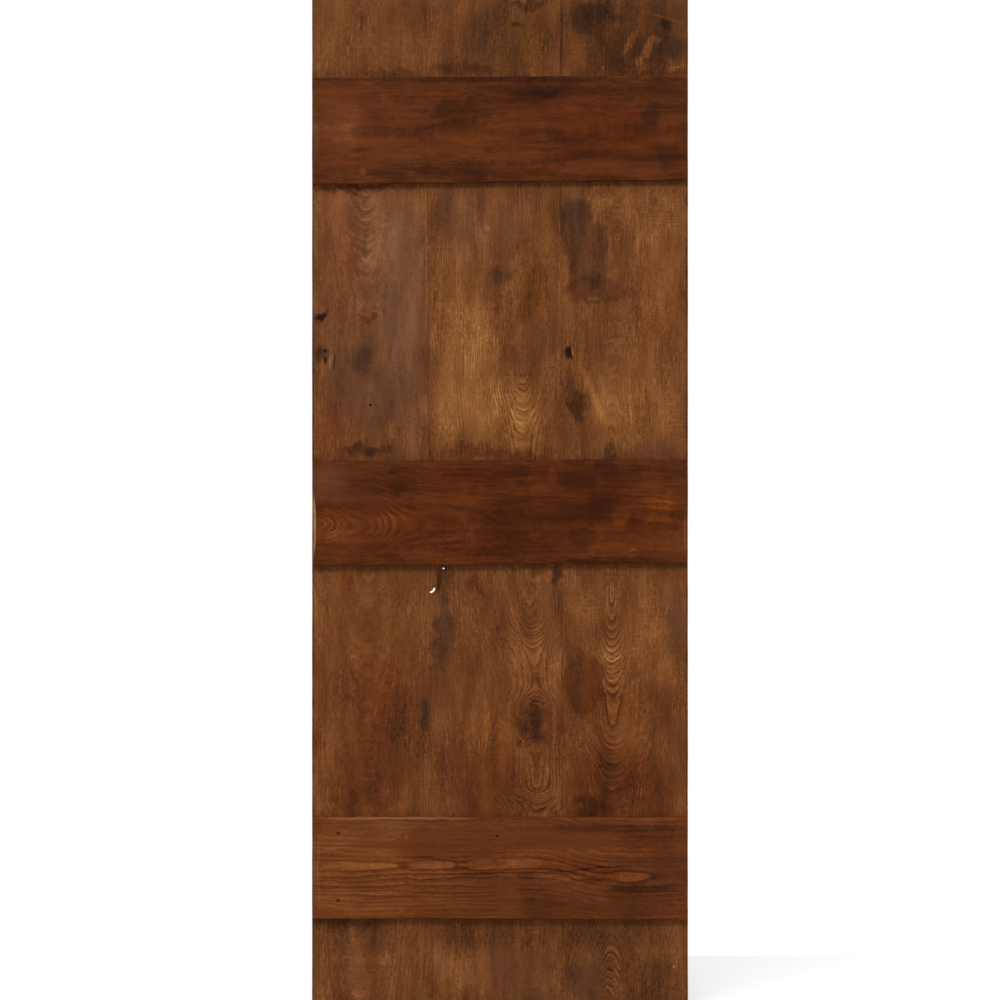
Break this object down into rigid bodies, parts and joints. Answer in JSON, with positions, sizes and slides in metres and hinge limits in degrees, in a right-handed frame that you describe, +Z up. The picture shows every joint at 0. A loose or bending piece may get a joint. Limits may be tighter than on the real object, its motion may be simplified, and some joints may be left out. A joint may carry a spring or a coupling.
{
  "type": "sliding door",
  "caption": "Rustic ledged sliding door of wide dark oak boards and raised battens, hung by grooved wheels from a flat black rail on a header board.",
  "frame": {"origin": "on the wall face of the header board, at the height of the rail's bolt line, on the centre line of the closed leaf", "axes": "+X along the rail, the way the leaf opens; +Y towards the wall; +Z up"},
  "size_m": [1.5036, 0.0915, 2.169],
  "materials": {
    "board_oak": "dark stained reclaimed oak, satin",
    "batten_oak": "red-brown stained oak, satin",
    "header_oak": "dark stained oak, satin",
    "spline_oak": "raw sawn oak",
    "black_steel": "fine black powder coat",
    "zinc_steel": "zinc plated steel",
    "nylon": "black moulded nylon",
    "rubber": "matt black rubber",
    "bronze": "oiled sintered bronze"
  },
  "bodies": {
    "track": {"header_board": "header_oak", "track_rail": "black_steel", "rail_spacer_1": "black_steel", "rail_spacer_2": "black_steel", "rail_spacer_3": "black_steel", "rail_spacer_4": "black_steel", "rail_bolts": "black_steel", "rail_washers": "black_steel", "rail_nuts": "zinc_steel", "left_stop": "black_steel", "right_stop": "black_steel", "left_bumper": "rubber", "right_bumper": "rubber", "stop_set_screws": "zinc_steel", "floor_guide": "nylon"},
    "leaf": {"left_board": "board_oak", "middle_board": "board_oak", "right_board": "board_oak", "left_spline": "spline_oak", "right_spline": "spline_oak", "top_batten": "batten_oak", "middle_batten": "batten_oak", "bottom_batten": "batten_oak", "top_batten_screws": "zinc_steel", "middle_batten_screws": "zinc_steel", "bottom_batten_screws": "zinc_steel", "left_hanger": "black_steel", "right_hanger": "black_steel", "hanger_screws": "zinc_steel", "left_axle_bolt": "black_steel", "right_axle_bolt": "black_steel", "left_axle_spacer": "zinc_steel", "right_axle_spacer": "zinc_steel", "left_axle_washer": "zinc_steel", "right_axle_washer": "zinc_steel", "left_axle_nut": "zinc_steel", "right_axle_nut": "zinc_steel", "left_anti_jump_disc": "nylon", "right_anti_jump_disc": "nylon", "anti_jump_screws": "zinc_steel"},
    "left_roller": {"left_wheel": "nylon", "left_wheel_bush": "bronze"},
    "right_roller": {"right_wheel": "nylon", "right_wheel_bush": "bronze"}
  },
  "joints": [
    {"name": "leaf_slide", "type": "slide", "parent": "track", "child": "leaf", "axis": [1, 0, 0], "range_m": [0, 0.711]},
    {"name": "left_wheel_spin", "type": "hinge", "parent": "leaf", "child": "left_roller", "pos_m": [-0.27, -0.06, 0.0503], "axis": [0, 1, 0], "continuous": true},
    {"name": "right_wheel_spin", "type": "hinge", "parent": "leaf", "child": "right_roller", "pos_m": [0.27, -0.06, 0.0503], "axis": [0, 1, 0], "continuous": true}
  ],
  "couplings": [
    {"joint": "left_wheel_spin", "follows": "leaf_slide", "rad_per_m": 33.333},
    {"joint": "right_wheel_spin", "follows": "leaf_slide", "rad_per_m": 33.333}
  ]
}
